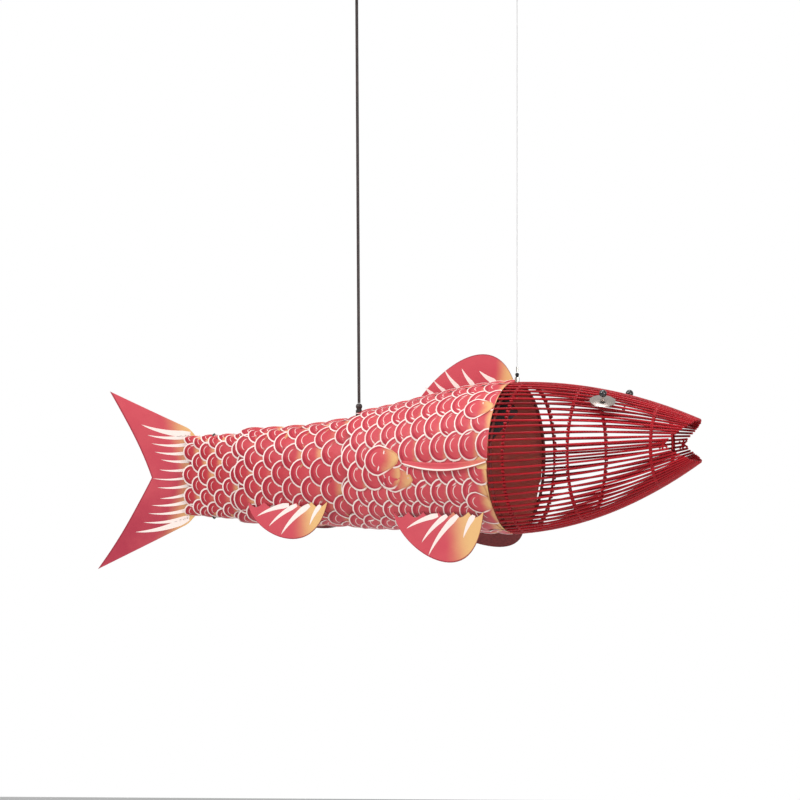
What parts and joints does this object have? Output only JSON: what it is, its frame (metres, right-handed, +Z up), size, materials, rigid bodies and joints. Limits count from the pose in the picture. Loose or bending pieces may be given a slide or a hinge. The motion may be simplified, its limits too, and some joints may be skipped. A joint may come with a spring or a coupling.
{
  "type": "carp pendant lantern",
  "caption": "Carp-shaped hanging lantern: rattan basket head with an open mouth, scaled sheet body and fins, hung level from a canopy by a power cord and a steel wire.",
  "frame": {"origin": "on the ceiling plane, at the centre of the two ceiling screw holes, midway between the power cord and the suspension wire", "axes": "+X towards the carp's head, +Z up, +Y towards the carp's left side"},
  "size_m": [0.9998, 0.2518, 0.915],
  "materials": {
    "bracket_steel": "zinc-plated pressed steel",
    "canopy_black": "fine matt black powder coat",
    "terminal_plastic": "moulded nylon",
    "fitting_metal": "nickel-plated brass",
    "nozzle_black": "black moulded cap",
    "cord_black": "black PVC flex with a faint brown cast",
    "wire_steel": "bright stranded steel wire",
    "frame_wire": "black painted wire frame",
    "lamp_black": "satin black",
    "bulb_cap_metal": "rolled screw cap",
    "bulb_glass": "opal glass globe",
    "scale_sheet": "printed laminated sheet, pink-red scales with cream outlines",
    "fin_sheet": "printed laminated sheet, pink with cream rays and an orange fade",
    "rivet_steel": "tubular rivets",
    "rattan_red": "round rattan core stained and lacquered red",
    "eye_steel": "polished steel",
    "eye_black": "glossy black ball"
  },
  "bodies": {
    "ceiling": {"ceiling_bracket": "bracket_steel", "ceiling_canopy": "canopy_black", "canopy_screws": "bracket_steel", "cord_gland": "canopy_black", "terminal_block": "terminal_plastic", "wire_gland": "fitting_metal"},
    "swivels": {"cord_swivel_ball": "fitting_metal", "wire_swivel_ball": "fitting_metal"},
    "cord": {"power_cord": "cord_black"},
    "wire": {"suspension_wire": "wire_steel", "wire_crimp": "fitting_metal"},
    "nozzle": {"gripper_nozzle": "nozzle_black"},
    "bulb": {"bulb_cap": "bulb_cap_metal", "bulb_globe": "bulb_glass"},
    "pectoral_left": {"pectoral_fin_left": "fin_sheet"},
    "pectoral_right": {"pectoral_fin_right": "fin_sheet"},
    "pelvic_left": {"pelvic_fin_left": "fin_sheet"},
    "pelvic_right": {"pelvic_fin_right": "fin_sheet"},
    "fish": {"cord_grip": "canopy_black", "grip_nut": "bracket_steel", "wire_gripper": "fitting_metal", "spine_rod": "frame_wire", "keel_rod": "frame_wire", "collar_ring": "frame_wire", "shoulder_ring": "frame_wire", "waist_ring": "frame_wire", "hip_ring": "frame_wire", "tail_ring": "frame_wire", "lamp_bracket": "frame_wire", "lamp_cup": "lamp_black", "lampholder": "lamp_black", "inner_lead": "cord_black", "front_upper_panel_left": "scale_sheet", "front_upper_panel_right": "scale_sheet", "front_lower_panel_left": "scale_sheet", "front_lower_panel_right": "scale_sheet", "middle_panel_left": "scale_sheet", "middle_panel_right": "scale_sheet", "rear_panel_left": "scale_sheet", "rear_panel_right": "scale_sheet", "tail_fin": "fin_sheet", "tail_rivets": "rivet_steel", "dorsal_fin": "fin_sheet", "crown_ribs": "rattan_red", "temple_ribs_left": "rattan_red", "temple_ribs_right": "rattan_red", "jowl_ribs_left": "rattan_red", "jowl_ribs_right": "rattan_red", "chin_ribs": "rattan_red", "cheek_hoop": "rattan_red", "brow_hoop": "rattan_red", "mouth_hoop": "rattan_red", "eye_disc_left": "eye_steel", "eye_disc_right": "eye_steel", "eye_screw_left": "eye_steel", "eye_screw_right": "eye_steel", "eye_ball_left": "eye_black", "eye_ball_right": "eye_black"}
  },
  "joints": [
    {"name": "side_sway", "type": "hinge", "parent": "ceiling", "child": "swivels", "pos_m": [-0.133, 0, -0.02], "axis": [1, 0, 0], "range_deg": [-12, 12]},
    {"name": "cord_swing", "type": "hinge", "parent": "swivels", "child": "cord", "pos_m": [-0.133, 0, -0.02], "axis": [0, 1, 0], "range_deg": [-8, 8]},
    {"name": "wire_swing", "type": "hinge", "parent": "swivels", "child": "wire", "pos_m": [0.133, 0, -0.02], "axis": [0, 1, 0], "range_deg": [-8.7, 8.7]},
    {"name": "fish_level", "type": "hinge", "parent": "cord", "child": "fish", "pos_m": [-0.129, 0, -0.664], "axis": [0, 1, 0], "range_deg": [-8.1, 8.1]},
    {"name": "nozzle_press", "type": "slide", "parent": "fish", "child": "nozzle", "axis": [0, 0, -1], "range_m": [0, 0.002], "stiffness_N_per_m": 300},
    {"name": "bulb_removal", "type": "slide", "parent": "fish", "child": "bulb", "axis": [-0.7071, 0, -0.7071], "range_m": [0, 0.024]},
    {"name": "pectoral_left_flex", "type": "hinge", "parent": "fish", "child": "pectoral_left", "pos_m": [-0.046, 0.06448, -0.83018], "axis": [0.9934, 0.1148, 0.0015], "range_deg": [-5, 20], "stiffness_Nm_per_rad": 0.2},
    {"name": "pectoral_right_flex", "type": "hinge", "parent": "fish", "child": "pectoral_right", "pos_m": [-0.046, -0.06448, -0.83018], "axis": [-0.9934, 0.1148, -0.0015], "range_deg": [-5, 20], "stiffness_Nm_per_rad": 0.2},
    {"name": "pelvic_left_flex", "type": "hinge", "parent": "fish", "child": "pelvic_left", "pos_m": [-0.298, 0.036, -0.81484], "axis": [0.9877, 0.1562, 0.0011], "range_deg": [-5, 20], "stiffness_Nm_per_rad": 0.2},
    {"name": "pelvic_right_flex", "type": "hinge", "parent": "fish", "child": "pelvic_right", "pos_m": [-0.298, -0.036, -0.81484], "axis": [-0.9877, 0.1562, -0.0011], "range_deg": [-5, 20], "stiffness_Nm_per_rad": 0.2}
  ],
  "couplings": [
    {"joint": "fish_level", "follows": "cord_swing", "ratio": -1},
    {"joint": "wire_swing", "follows": "cord_swing", "ratio": 1.075}
  ]
}
